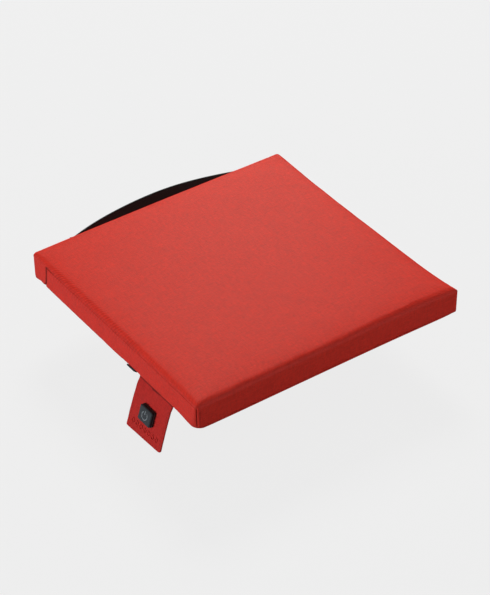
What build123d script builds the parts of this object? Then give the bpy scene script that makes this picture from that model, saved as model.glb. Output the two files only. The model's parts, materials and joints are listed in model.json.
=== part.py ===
from build123d import *
import math
import os

# Battery-heated seat cushion: a thin square box cushion in a zipped canvas cover, with a webbing
# carry handle on the +Y side and a fabric control tab under the bottom edge of the -X side.
# Units are millimetres, +Z is up, and the origin is the centre of the flat bottom face.

# ---- Driving dimensions: the cushion ----
WIDTH = 420.0           # along X
DEPTH = 400.0           # along Y
THICK = 45.0            # along Z
CORNER_R = 12.0         # plan corners
TOP_ROLL_R = 9.0        # soft edge round the top
BOTTOM_ROLL_R = 5.0     # tighter edge round the bottom
CLOTH = 1.2             # cover cloth with its lining
AIR = 0.1               # gap kept between loose layers

# ---- Cover panels ----
PANEL_SEAM_TOP = 40.0       # top seam of the zipped side panel
PANEL_SEAM_FRONT = -188.0   # its seam at the -Y corner
PANEL_SEAM_BACK = 163.0     # its seam near the +Y corner

# ---- Filling, from the seat downwards ----
COMFORT_FOAM = 6.0
WIRE_R = 0.8
FELT = 1.5
COMFORT_TOP = THICK - CLOTH - AIR
COMFORT_BOTTOM = COMFORT_TOP - COMFORT_FOAM
FELT_TOP = COMFORT_BOTTOM - 2 * WIRE_R - AIR
FELT_BOTTOM = FELT_TOP - FELT
CORE_TOP = FELT_BOTTOM - AIR
CORE_BOTTOM = CLOTH + AIR
FELT_MARGIN = 22.0          # felt edge to cushion edge
WIRE_MARGIN = 42.0          # heater wire to cushion edge
WIRE_RUNS = 12              # straight runs of heater wire
WIRE_BEND_R = 9.0
FOAM_BEVEL = 4.2            # foam's bevel, this far behind the zip's line

# ---- Zip along the bottom edge of the -X side ----
LIP = 7.0                   # cover cut back this far on both sides of the edge
ZIP_START = -61.0
ZIP_END = 161.0
TAPE = 0.7
TAPE_WIDTH = 4.6
TAPE_TOP = -2.0             # below the line that joins the two lips
TOOTH_PITCH = 3.2
TOOTH_LENGTH = 1.6
TOOTH_WIDTH = 1.45
TOOTH_TOP = -0.4
ROW_GAP = 0.8               # between the two rows of teeth
TEETH_START = ZIP_START + 3.0
TEETH_END = ZIP_END - 13.0
STOP_LENGTH = 1.2
STOP_GAP = 1.8              # stop to the nearest tooth

# ---- Zip slider and pull, parked at the zip's closed end ----
SLIDER_Y = -52.0
SLIDER_LENGTH = 9.0
SLIDER_WIDTH = 7.4
SLIDER_CORNER_R = 1.6
SLIDER_GAP = 0.1            # plates to teeth and to tape
OUTER_PLATE = 1.1
INNER_PLATE = 0.9
POST_LENGTH = 3.0
POST_WIDTH = ROW_GAP - 0.2
FLANGE_WIDTH = 0.8
FLANGE_GAP = 0.3            # flange to tape
LUG_LENGTH = 3.2
LUG_WIDTH = 1.0
LUG_INSIDE = 2.3            # lugs' inner faces to the zip's middle
LUG_HEIGHT = 3.4
PIN_Y = SLIDER_Y - 1.0
PIN_R = 0.7
PIN_GAP = 0.08              # running clearance of the pull on its pin
PIN_HEIGHT = 2.4
EYE_R = 1.35
EYE_HALF = 2.1
PULL_LENGTH = 16.0
PULL_WIDTH = 6.4
PULL_THICK = 1.8
PULL_START = 2.2            # from the pin to the wide part of the pull
PULL_LIFT = 0.2
PULL_CORNER_R = 1.5
NECK_HALF = 1.6
NECK_THICK = 1.2

# ---- Carry handle on the +Y side ----
WEBBING_WIDTH = 25.0
WEBBING = 1.8
HANDLE_Z = 26.0             # middle of the webbing
HANDLE_BOW = 24.5           # inside of the loop to the wall, at the middle
HANDLE_REACH = 144.0        # where the loop meets the wall, each side of the middle
HANDLE_END = 145.0          # outer end of the sewn lap
HANDLE_SEWN = 131.0         # inner end of the sewn lap
HANDLE_BEND = 114.0         # the loop turns inside this, the ends stay on the wall
HANDLE_SPLIT = 0.3
HANDLE_WALL = DEPTH / 2 + 0.05      # the webbing's inner face where it lies on the cover

# ---- Control tab on the -X side ----
TAB_X = -WIDTH / 2 + 3.5    # seam line that the tab swings about
TAB_Y = -100.5
TAB_Z = -1.4
TAB_TILT = 17.0             # degrees out from hanging straight down
TAB_TOP_WIDTH = 77.0
TAB_BOTTOM_WIDTH = 75.0
TAB_LENGTH = 75.0
TAB_CORNER_R = 5.0
TAB_PLY = 0.9
TAB_CORE = 0.8
TAB_HEM = 4.0               # cloth outside the stiff core
TAB_FACE = TAB_CORE / 2 + TAB_PLY

# ---- Push button on the tab ----
BUTTON_DOWN = -37.5         # button centre below the seam
HOUSING = (28.0, 24.0)
HOUSING_WALL = 1.5
HOUSING_FLOOR = 0.8
HOUSING_HEIGHT = 3.3
HOUSING_R = 3.0
CAP = (27.2, 23.2)
CAP_HEIGHT = 3.0
CAP_BEVEL = 1.1
CAP_TRAVEL = 0.6
HOUSING_EDGE = 0.5
CLOTH_GAP = 0.05            # mouldings to the cloth they clamp
HOUSING_BASE = TAB_FACE + CLOTH_GAP
HOUSING_RIM = HOUSING_BASE + HOUSING_HEIGHT
CAP_BASE = HOUSING_RIM + CAP_TRAVEL + AIR
BOARD_BASE = HOUSING_BASE + HOUSING_FLOOR + AIR
BOARD = 0.8
BOARD_TOP = BOARD_BASE + BOARD
SKIRT_BASE = BOARD_TOP + CAP_TRAVEL + AIR
SKIRT_GAP = 0.2
SKIRT_WALL = 1.0
SKIRT_R = 1.3
PLUNGER_R = 2.0
SWITCH = 6.0
SWITCH_BODY = 0.6
SWITCH_HEIGHT = 1.0
SWITCH_STEM_R = 1.6
LED = (2.0, 1.2)
LED_HEIGHT = 0.7
LED_X = 6.5
BACK_PLATE = 1.5
BACK_OUTSIDE = -TAB_FACE - CLOTH_GAP - BACK_PLATE
SCREW_SPREAD = (10.4, 8.4)
SCREW_R = 0.8
SCREW_HEAD_R = 1.6
SCREW_HEAD = 0.8
SCREW_CLEAR = 0.1
SCREW_CROSS = (2.0, 0.4, 0.35)
BOSS_R = 1.9
BOSS_HEIGHT = 0.85
CABLE_WIDTH = 8.0
CABLE = 0.6
CABLE_GAP = 0.2

# ---- Heater thermostat ----
THERMOSTAT = (18.0, 9.0)
THERMOSTAT_X = -90.0

# ---- Battery in its pocket behind the zip ----
PACK_X = (-190.0, -95.0)
PACK_Y = (14.0, 76.0)
PACK_Z = (9.0, 23.0)
PACK_WALL = 1.5
POCKET = 0.8
POCKET_GAP = 0.6
PACK_MIDDLE = (PACK_Y[0] + PACK_Y[1]) / 2
PORT = (7.0, 12.0, 4.6)
PORT_Z = (PACK_Z[0] + PACK_Z[1]) / 2
PORT_GAP = 0.2              # port's hollow to the plug's tongue
TONGUE = (5.5, 10.6, 3.4)
PLUG = (11.0, 11.0, 6.0)
PLUG_R = 1.5
PLUG_STAND_OFF = 0.5
POCKET_MOUTH = 4.0          # sleeve past the battery's end
CELL_X = (PACK_X[0] + 22.0, PACK_X[1] - 4.0)
CELL_Z = (PACK_Z[0] + 2.0, PACK_Z[1] - 2.0)
CELL_GAP = 1.0
CELL_R = 3.0
PACK_BOARD_X = (PACK_X[0] + 9.0, PACK_X[0] + 20.0)
PACK_BOARD_Z = (PORT_Z - 3.4, PORT_Z - 2.4)
PACK_BOARD_WIDTH = 50.0
PACK_CORNER_R = 4.0

# ---- Leads ----
LEAD_R = 1.5                # battery to tab
HEATER_LEAD_R = 1.2         # tab to heater
LEAD_GROOVE = 0.4           # room round a lead in the foam
LEAD_DEPTH = 5.6            # leads run this far behind the zip
LEAD_X = -WIDTH / 2 + LIP / 2 + LEAD_DEPTH / math.sqrt(2)
LEAD_Z = LIP / 2 + LEAD_DEPTH / math.sqrt(2)
HEATER_LEAD_Y = -92.0
SLIT_MARGIN = 0.4
LEAD_IN = 8.2               # flat cable's inner end to the tab's seam
LEAD_OUT = 1.5              # its outer end to the tab's seam, clear of the folding tab


# ---- Helpers ----
def block(x0, x1, y0, y1, z0, z1, plane=Plane.XY):
    """A box between the given limits, in the coordinates of a plane."""
    box = Box(x1 - x0, y1 - y0, z1 - z0, align=(Align.MIN, Align.MIN, Align.MIN))
    return plane * Pos(x0, y0, z0) * box


def slab(z0, z1):
    """Everything between two heights."""
    return block(-WIDTH, WIDTH, -DEPTH, DEPTH, z0, z1)


def pillow(inset):
    """The cushion's outside, moved inwards by a distance."""
    body = Box(WIDTH - 2 * inset, DEPTH - 2 * inset, THICK - 2 * inset)
    body = Pos(0, 0, THICK / 2) * body
    body = fillet(body.edges().filter_by(Axis.Z), CORNER_R - inset)
    body = fillet(body.edges().group_by(Axis.Z)[-1], TOP_ROLL_R - inset)
    return fillet(body.edges().group_by(Axis.Z)[0], BOTTOM_ROLL_R - inset)


def rounded_plate(size, radius, z0, z1, plane):
    """A plate with rounded corners, centred on a plane's origin."""
    outline = RectangleRounded(size[0], size[1], radius)
    return plane * Pos(0, 0, z0) * extrude(outline, z1 - z0)


def peg(radius, x, y, z0, z1, plane=Plane.XY):
    """A round peg or hole along a plane's normal."""
    return plane * Pos(x, y, z0) * Cylinder(radius, z1 - z0, align=(Align.CENTER, Align.CENTER, Align.MIN))


def round_lead(points, radius, bend=2.5):
    """A round cable through a few corner points, bent smoothly at each."""
    path = FilletPolyline(*points, radius=bend)
    start = Plane(origin=path @ 0, z_dir=path % 0)
    return sweep(start * Circle(radius), path=path)


# The zip's own frame: x runs along +Y, y crosses from the side lip to the bottom lip, z points out.
ZIP = Plane(origin=(-WIDTH / 2 + LIP / 2, 0, LIP / 2), x_dir=(0, 1, 0), z_dir=(-1, 0, -1))

# The tab's own frame: x runs along -Y, y runs up the tab to its seam, z points out of its front.
TILT = math.radians(TAB_TILT)
TAB = Plane(origin=(TAB_X, TAB_Y, TAB_Z), x_dir=(0, -1, 0), z_dir=(-math.cos(TILT), 0, math.sin(TILT)))
BUTTON = Plane(TAB * Pos(0, BUTTON_DOWN, 0))


# ---- Cover ----
def zip_opening():
    """The strip of cover left out along the edge where the zip sits."""
    return block(-WIDTH / 2 - LIP, -WIDTH / 2 + LIP, ZIP_START, ZIP_END, -LIP, LIP)


def flat_cable_way(gap, low, high):
    """The flat cable's way through the bottom roll, from the tab's seam towards the roll's centre."""
    seam = Vector(TAB_X, TAB_Y, TAB_Z)
    roll_centre = Vector(-WIDTH / 2 + BOTTOM_ROLL_R, TAB_Y, BOTTOM_ROLL_R)
    plane = Plane(origin=seam, x_dir=(0, 1, 0), z_dir=seam - roll_centre)
    width, thick = CABLE_WIDTH / 2 + gap, CABLE / 2 + gap
    return block(-width, width, -thick, thick, low, high, plane)


def cover_parts():
    """Top with its walls, zipped side panel and bottom, cut from one closed skin."""
    cloth = pillow(0) - pillow(CLOTH) - zip_opening() - flat_cable_way(SLIT_MARGIN, -6, 3)
    wall = block(-WIDTH / 2 - 1, -WIDTH / 2 + 2 * CLOTH, PANEL_SEAM_FRONT, PANEL_SEAM_BACK,
                 BOTTOM_ROLL_R, PANEL_SEAM_TOP)
    bottom = slab(-1, BOTTOM_ROLL_R)
    return {
        "cover_bottom": cloth & bottom,
        "zip_side_panel": cloth & wall,
        "cover_top": cloth - bottom - wall,
    }


# ---- Filling ----
def core_foam():
    """The thick block, bevelled behind the zip, with the battery's recess and the leads' grooves."""
    foam = pillow(CLOTH + AIR) & slab(CORE_BOTTOM, CORE_TOP)
    foam -= block(-WIDTH, WIDTH, -THICK, THICK, -FOAM_BEVEL, THICK, ZIP)
    room = POCKET + 2 * POCKET_GAP
    foam -= block(-WIDTH, PACK_X[1] + room, PACK_Y[0] - room, PACK_Y[1] + room,
                  PACK_Z[0] - room, PACK_Z[1] + room)
    foam -= round_lead(battery_lead_path(), LEAD_R + LEAD_GROOVE)
    return foam - round_lead(heater_lead_path(CORE_TOP), HEATER_LEAD_R + LEAD_GROOVE)


def comfort_foam():
    return pillow(CLOTH + AIR) & slab(COMFORT_BOTTOM, COMFORT_TOP)


def heater_felt():
    size = (WIDTH - 2 * FELT_MARGIN, DEPTH - 2 * FELT_MARGIN)
    return rounded_plate(size, CORNER_R, FELT_BOTTOM, FELT_TOP, Plane.XY)


def heater_wire():
    """One wire laid up and down the felt in even runs."""
    half_x = WIDTH / 2 - WIRE_MARGIN
    half_y = DEPTH / 2 - WIRE_MARGIN
    pitch = 2 * half_y / (WIRE_RUNS - 1)
    corners = []
    for run in range(WIRE_RUNS):
        y = -half_y + run * pitch
        ends = (-half_x, half_x) if run % 2 == 0 else (half_x, -half_x)
        corners += [(ends[0], y), (ends[1], y)]
    points = [(x, y, FELT_TOP + WIRE_R) for x, y in corners]
    return round_lead(points, WIRE_R, WIRE_BEND_R)


def thermostat():
    """A flat cut-out switch on the felt, between the two middle runs of wire."""
    return rounded_plate(THERMOSTAT, 2, FELT_TOP, COMFORT_BOTTOM - AIR, Plane(origin=(THERMOSTAT_X, 0, 0)))


# ---- Zip ----
def strip(side, inside, width):
    """Limits across the zip of a strip on one side of its middle."""
    return sorted((side * inside, side * (inside + width)))


def zip_tape(side):
    """One woven tape, under its row of teeth."""
    near, far = strip(side, ROW_GAP / 2, TAPE_WIDTH)
    return block(TEETH_START - 2, TEETH_END + 5, near, far, TAPE_TOP - TAPE, TAPE_TOP, ZIP)


def zip_teeth(side):
    """One row of separate teeth; the two rows are half a pitch apart."""
    near, far = strip(side, ROW_GAP / 2, TOOTH_WIDTH)
    count = int((TEETH_END - TEETH_START) / TOOTH_PITCH)
    offset = TOOTH_PITCH / 2 if side > 0 else 0
    teeth = []
    for index in range(count):
        start = TEETH_START + offset + index * TOOTH_PITCH
        tooth = block(start, start + TOOTH_LENGTH, near, far, TAPE_TOP, TOOTH_TOP, ZIP)
        teeth.append(tooth)
    return Compound(children=teeth)


def zip_stops():
    """Two metal clips that bridge the tapes past the last teeth."""
    half = ROW_GAP / 2 + TOOTH_WIDTH
    places = (TEETH_START - STOP_GAP, TEETH_END + STOP_GAP)
    return Compound(children=[
        block(place, place + STOP_LENGTH, -half, half, TAPE_TOP, TOOTH_TOP + AIR, ZIP) for place in places
    ])


def zip_slider():
    """Outer and inner plates joined by a thin post, with two lugs that carry the pull's pin."""
    half = SLIDER_WIDTH / 2
    front, back = SLIDER_Y - SLIDER_LENGTH / 2, SLIDER_Y + SLIDER_LENGTH / 2
    outer = TOOTH_TOP + SLIDER_GAP
    inner = TAPE_TOP - TAPE - SLIDER_GAP
    body = block(front, back, -half, half, outer, outer + OUTER_PLATE, ZIP)
    body = fillet(body.edges().filter_by(Axis(ZIP.origin, ZIP.z_dir)), SLIDER_CORNER_R)
    body += block(front + 1, back - 1, -half, half, inner - INNER_PLATE, inner, ZIP)
    post = POST_WIDTH / 2
    body += block(front + 1.2, front + 1.2 + POST_LENGTH, -post, post, inner, outer, ZIP)
    for side in (-1, 1):
        near, far = strip(side, half - FLANGE_WIDTH, FLANGE_WIDTH)
        body += block(front + 1.6, back - 1.6, near, far, TAPE_TOP + FLANGE_GAP, outer, ZIP)
        near, far = strip(side, LUG_INSIDE, LUG_WIDTH)
        lug = block(PIN_Y - LUG_LENGTH / 2, PIN_Y + LUG_LENGTH / 2, near, far, outer, LUG_HEIGHT, ZIP)
        body += lug
    return body + pin_along(PIN_R, LUG_INSIDE + AIR)


def pin_along(radius, half_length):
    """A cylinder on the pull's hinge line."""
    rod = Rotation(90, 0, 0) * Cylinder(radius, 2 * half_length)
    return ZIP * Pos(PIN_Y, 0, PIN_HEIGHT) * rod


def zip_pull():
    """A flat tag on a round eye that turns on the slider's pin."""
    half = PULL_WIDTH / 2
    low = PIN_HEIGHT - PULL_THICK / 2 + PULL_LIFT
    start = PIN_Y + PULL_START
    tag = block(start, PIN_Y + PULL_LENGTH, -half, half, low, low + PULL_THICK, ZIP)
    tag = fillet(tag.edges().filter_by(Axis(ZIP.origin, ZIP.z_dir)), PULL_CORNER_R)
    neck = block(PIN_Y, start + 1, -NECK_HALF, NECK_HALF,
                 PIN_HEIGHT - NECK_THICK / 2, PIN_HEIGHT + NECK_THICK / 2, ZIP)
    hole = pin_along(PIN_R + PIN_GAP, LUG_INSIDE)
    return pin_along(EYE_R, EYE_HALF) + tag + neck - hole


# ---- Carry handle ----
def handle_band(x0, x1):
    """The bowed strap between two distances from the middle."""
    inner_r = (HANDLE_REACH ** 2 + HANDLE_BOW ** 2) / (2 * HANDLE_BOW)
    centre = Pos(0, HANDLE_WALL + HANDLE_BOW - inner_r, HANDLE_Z - WEBBING_WIDTH / 2)
    ring = Circle(inner_r + WEBBING) - Circle(inner_r)
    band = centre * extrude(ring, WEBBING_WIDTH)
    return band & block(x0, x1, HANDLE_WALL, DEPTH, 0, THICK)


def handle_end(side):
    """The sewn lap of two plies and the strap's first bend, on one side."""
    low, high = HANDLE_Z - WEBBING_WIDTH / 2, HANDLE_Z + WEBBING_WIDTH / 2
    near, far = sorted((side * (HANDLE_BEND + HANDLE_SPLIT), side * (HANDLE_REACH - 1)))
    lap_near, lap_far = sorted((side * HANDLE_SEWN, side * HANDLE_END))
    lap = block(lap_near, lap_far, HANDLE_WALL, HANDLE_WALL + 2 * WEBBING, low, high)
    return handle_band(near, far) + lap


# ---- Control tab ----
def tab_sheet(inset, z0, z1):
    """The tab's outline, drawn in on three sides, between two depths."""
    top = TAB_TOP_WIDTH / 2 - inset
    bottom = TAB_BOTTOM_WIDTH / 2 - inset
    low = -TAB_LENGTH + inset
    outline = Polygon((-top, 0), (-bottom, low), (bottom, low), (top, 0), align=None)
    outline = fillet(outline.vertices().group_by(Axis.Y)[0], TAB_CORNER_R)
    return TAB * Pos(0, 0, z0) * extrude(outline, z1 - z0)


def screw_places():
    """Screw centres, in the button's plane."""
    return [(sx * SCREW_SPREAD[0], sy * SCREW_SPREAD[1]) for sx in (-1, 1) for sy in (-1, 1)]


def screw_holes(radius, z0, z1):
    return [peg(radius, x, y, z0, z1, BUTTON) for x, y in screw_places()]


def cable_window(gap):
    """The way up from the tab's core to the circuit board."""
    half = CABLE_WIDTH / 2 + gap
    return block(-half, half, -1 - gap, 1 + gap, -CABLE / 2 - gap, BOARD_BASE - AIR / 2, BUTTON)


def tab_cloths():
    """Front and back plies, pierced for the screws and the cable."""
    front = tab_sheet(0, TAB_CORE / 2, TAB_FACE) - cable_window(CABLE_GAP)
    back = tab_sheet(0, -TAB_FACE, -TAB_CORE / 2)
    for hole in screw_holes(SCREW_R + SCREW_CLEAR, -TAB_FACE - 1, TAB_FACE + 1):
        front -= hole
        back -= hole
    return {"tab_front_cloth": front, "tab_back_cloth": back}


def tab_core():
    """The stiff sheet between the plies, slotted for the flat cable."""
    core = tab_sheet(TAB_HEM, -TAB_CORE / 2, TAB_CORE / 2)
    half = CABLE_WIDTH / 2 + CABLE_GAP
    core -= block(-half, half, BUTTON_DOWN - 2, 1, -TAB_CORE, TAB_CORE, TAB)
    core -= block(-TAB_TOP_WIDTH, TAB_TOP_WIDTH, -TAB_HEM, 1, -TAB_CORE, TAB_CORE, TAB)
    for hole in screw_holes(SCREW_R + SCREW_CLEAR, -TAB_CORE, TAB_CORE):
        core -= hole
    return core


def tab_flat_cable():
    """From the seam down to the button, then up through the front ply."""
    half = CABLE_WIDTH / 2
    run = block(-half, half, BUTTON_DOWN - 1, -0.6, -CABLE / 2, CABLE / 2, TAB)
    return run + cable_window(0)


# ---- Push button ----
def button_housing():
    """An open tray with four screw bosses on its floor."""
    tray = rounded_plate(HOUSING, HOUSING_R, HOUSING_BASE, HOUSING_RIM, BUTTON)
    tray = chamfer(outer_rim(tray), HOUSING_EDGE)
    inside = (HOUSING[0] - 2 * HOUSING_WALL, HOUSING[1] - 2 * HOUSING_WALL)
    floor = HOUSING_BASE + HOUSING_FLOOR
    tray -= rounded_plate(inside, HOUSING_R - HOUSING_WALL, floor, HOUSING_RIM + 1, BUTTON)
    for x, y in screw_places():
        tray += peg(BOSS_R, x, y, floor, floor + BOSS_HEIGHT, BUTTON)
    for hole in screw_holes(SCREW_R + 0.01, 0, HOUSING_RIM):
        tray -= hole
    return tray - cable_window(CABLE_GAP)


def outer_rim(plate):
    """The edges round a plate's outward face."""
    return plate.faces().sort_by(Axis(BUTTON.origin, BUTTON.z_dir))[-1].edges()


def button_cap():
    """A bevelled cap with a guide skirt inside the tray and a plunger over the switch."""
    cap = rounded_plate(CAP, HOUSING_R, CAP_BASE, CAP_BASE + CAP_HEIGHT, BUTTON)
    cap = chamfer(outer_rim(cap), CAP_BEVEL)
    outer = [side - 2 * HOUSING_WALL - 2 * SKIRT_GAP for side in HOUSING]
    inner = [side - 2 * SKIRT_WALL for side in outer]
    skirt = rounded_plate(outer, SKIRT_R, SKIRT_BASE, CAP_BASE + AIR, BUTTON)
    skirt -= rounded_plate(inner, SKIRT_R / 2, SKIRT_BASE, CAP_BASE, BUTTON)
    rest = BOARD_TOP + SWITCH_HEIGHT + CAP_TRAVEL + CLOTH_GAP
    return cap + skirt + peg(PLUNGER_R, 0, 0, rest, CAP_BASE + AIR, BUTTON)


def control_board():
    """The circuit board, with its corners cut away round the bosses."""
    size = [side - 2 * HOUSING_WALL - 1.0 for side in HOUSING]
    board = rounded_plate(size, 1.0, BOARD_BASE, BOARD_TOP, BUTTON)
    for x, y in screw_places():
        board -= peg(BOSS_R + 0.4, x, y, BOARD_BASE, BOARD_TOP, BUTTON)
        out_x, out_y = math.copysign(HOUSING[0], x), math.copysign(HOUSING[1], y)
        corner_x, corner_y = sorted((x, out_x)), sorted((y, out_y))
        board -= block(*corner_x, *corner_y, BOARD_BASE, BOARD_TOP, BUTTON)
    return board


def tact_switch():
    base = rounded_plate((SWITCH, SWITCH), 0.4, BOARD_TOP, BOARD_TOP + SWITCH_BODY, BUTTON)
    return base + peg(SWITCH_STEM_R, 0, 0, BOARD_TOP, BOARD_TOP + SWITCH_HEIGHT, BUTTON)


def status_led():
    plane = Plane(BUTTON * Pos(LED_X, 0, 0))
    return rounded_plate(LED, 0.2, BOARD_TOP, BOARD_TOP + LED_HEIGHT, plane)


def button_back_plate():
    """The plate behind the tab that the screws pull on, with sunk holes for their heads."""
    plate = rounded_plate(HOUSING, HOUSING_R, BACK_OUTSIDE, BACK_OUTSIDE + BACK_PLATE, BUTTON)
    for x, y in screw_places():
        plate -= peg(SCREW_R + SCREW_CLEAR, x, y, BACK_OUTSIDE, BACK_OUTSIDE + BACK_PLATE, BUTTON)
        plate -= peg(SCREW_HEAD_R + SCREW_CLEAR, x, y, BACK_OUTSIDE, BACK_OUTSIDE + SCREW_HEAD, BUTTON)
    return plate


def housing_screws():
    """Four small cross-head screws through the back plate and the cloth into the tray's bosses."""
    tip = HOUSING_BASE + HOUSING_FLOOR + BOSS_HEIGHT - AIR
    head = BACK_OUTSIDE + CLOTH_GAP
    long, wide, deep = SCREW_CROSS
    screws = []
    for x, y in screw_places():
        screw = peg(SCREW_R, x, y, head, tip, BUTTON)
        screw += peg(SCREW_HEAD_R, x, y, head, BACK_OUTSIDE + SCREW_HEAD, BUTTON)
        for half_x, half_y in ((long / 2, wide / 2), (wide / 2, long / 2)):
            screw -= block(x - half_x, x + half_x, y - half_y, y + half_y, head, head + deep, BUTTON)
        screws.append(screw)
    return Compound(children=screws)


# ---- Battery and leads ----
def pack_block(inset):
    """The battery case's outside, moved inwards by a distance."""
    body = block(PACK_X[0] + inset, PACK_X[1] - inset, PACK_Y[0] + inset, PACK_Y[1] - inset,
                 PACK_Z[0] + inset, PACK_Z[1] - inset)
    return fillet(body.edges().filter_by(Axis.X), PACK_CORNER_R - inset)


def port_block(gap):
    length, width, height = PORT
    return block(PACK_X[0] - gap, PACK_X[0] + length, PACK_MIDDLE - width / 2 - gap,
                 PACK_MIDDLE + width / 2 + gap, PORT_Z - height / 2 - gap, PORT_Z + height / 2 + gap)


def battery_parts():
    """Two case halves round two pouch cells, a circuit board and the output port."""
    shell = pack_block(0) - pack_block(PACK_WALL) - port_block(AIR)
    lower_half = slab(0, PORT_Z)
    inside = PACK_Y[0] + PACK_WALL + CELL_GAP
    cell_width = (PACK_Y[1] - PACK_Y[0] - 2 * PACK_WALL - 3 * CELL_GAP) / 2
    cells = []
    for index in range(2):
        y0 = inside + index * (cell_width + CELL_GAP)
        cell = block(*CELL_X, y0, y0 + cell_width, *CELL_Z)
        cells.append(fillet(cell.edges().filter_by(Axis.X), CELL_R))
    board_y = (PACK_MIDDLE - PACK_BOARD_WIDTH / 2, PACK_MIDDLE + PACK_BOARD_WIDTH / 2)
    return {
        "battery_case_lower": shell & lower_half,
        "battery_case_upper": shell - lower_half,
        "battery_cells": Compound(children=cells),
        "battery_board": block(*PACK_BOARD_X, *board_y, *PACK_BOARD_Z),
        "battery_usb_port": port_block(0) - tongue_block(PORT_GAP, PACK_X[0] - 1),
    }


def tongue_block(gap, start):
    """The metal tongue of the plug, or with a gap the port's hollow."""
    length, width, height = TONGUE
    return block(start, PACK_X[0] + length + gap, PACK_MIDDLE - width / 2 - gap,
                 PACK_MIDDLE + width / 2 + gap, PORT_Z - height / 2 - gap, PORT_Z + height / 2 + gap)


def pocket_block(grow, start, end):
    """A box round the battery, larger than it by a distance on its four long sides."""
    return block(PACK_X[0] - start, PACK_X[1] + end, PACK_Y[0] - grow, PACK_Y[1] + grow,
                 PACK_Z[0] - grow, PACK_Z[1] + grow)


def battery_pocket():
    """A thin fabric sleeve round the battery, open towards the zip."""
    outside = pocket_block(POCKET_GAP + POCKET, POCKET_MOUTH, POCKET_GAP + POCKET)
    return outside - pocket_block(POCKET_GAP, 2 * POCKET_MOUTH, POCKET_GAP)


def battery_plug():
    """A moulded plug whose metal tongue sits in the battery's port."""
    length, width, height = PLUG
    end = PACK_X[0] - PLUG_STAND_OFF
    body = block(end - length, end, PACK_MIDDLE - width / 2, PACK_MIDDLE + width / 2,
                 PORT_Z - height / 2, PORT_Z + height / 2)
    body = fillet(body.edges().filter_by(Axis.X), PLUG_R)
    return body + tongue_block(0, end)


def battery_lead_path():
    """From the plug, down behind the zip and along to the tab's cable."""
    plug_x = PACK_X[0] - PLUG_STAND_OFF - PLUG[0]
    turn_x = plug_x - 2 * LEAD_R
    return [
        (plug_x, PACK_MIDDLE, PORT_Z),
        (turn_x, PACK_MIDDLE, PORT_Z),
        (turn_x, PACK_Y[0] + 8, PORT_Z),
        (LEAD_X + 2, PACK_Y[0] - 8, LEAD_Z + 2),
        (LEAD_X, TAB_Y + CABLE_WIDTH / 4, LEAD_Z),
    ]


def heater_lead_path(top):
    """From the tab's cable, up through the foam to a height below the felt."""
    x = LEAD_X + 4
    return [
        (LEAD_X, TAB_Y - CABLE_WIDTH / 4, LEAD_Z),
        (x, TAB_Y - CABLE_WIDTH / 4, LEAD_Z + 6),
        (x, HEATER_LEAD_Y, LEAD_Z + 18),
        (x, HEATER_LEAD_Y, top),
    ]


def all_parts():
    parts = {}
    parts.update(cover_parts())
    parts["comfort_foam"] = comfort_foam()
    parts["core_foam"] = core_foam()
    parts["heater_felt"] = heater_felt()
    parts["heater_wire"] = heater_wire()
    parts["thermostat"] = thermostat()
    parts["zip_tape_upper"] = zip_tape(-1)
    parts["zip_tape_lower"] = zip_tape(1)
    parts["zip_teeth_upper"] = zip_teeth(-1)
    parts["zip_teeth_lower"] = zip_teeth(1)
    parts["zip_stops"] = zip_stops()
    parts["zip_slider"] = zip_slider()
    parts["zip_pull"] = zip_pull()
    parts["handle_loop"] = handle_band(-HANDLE_BEND, HANDLE_BEND)
    parts["handle_end_left"] = handle_end(-1)
    parts["handle_end_right"] = handle_end(1)
    parts.update(tab_cloths())
    parts["tab_core"] = tab_core()
    parts["tab_flat_cable"] = tab_flat_cable()
    parts["tab_lead"] = flat_cable_way(0, -LEAD_IN, -LEAD_OUT)
    parts["button_housing"] = button_housing()
    parts["button_cap"] = button_cap()
    parts["control_board"] = control_board()
    parts["tact_switch"] = tact_switch()
    parts["status_led"] = status_led()
    parts["button_back_plate"] = button_back_plate()
    parts["housing_screws"] = housing_screws()
    parts.update(battery_parts())
    parts["battery_pocket"] = battery_pocket()
    parts["battery_plug"] = battery_plug()
    parts["battery_lead"] = round_lead(battery_lead_path(), LEAD_R)
    parts["heater_lead"] = round_lead(heater_lead_path(CORE_TOP - 1), HEATER_LEAD_R)
    return parts


os.makedirs("parts", exist_ok=True)
for name, shape in all_parts().items():
    export_step(shape, f"parts/{name}.step")
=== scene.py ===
import json
import math

import bmesh
import bpy
import numpy as np
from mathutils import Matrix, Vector, noise
from mathutils.bvhtree import BVHTree
from mathutils.interpolate import poly_3d_calc


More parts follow.
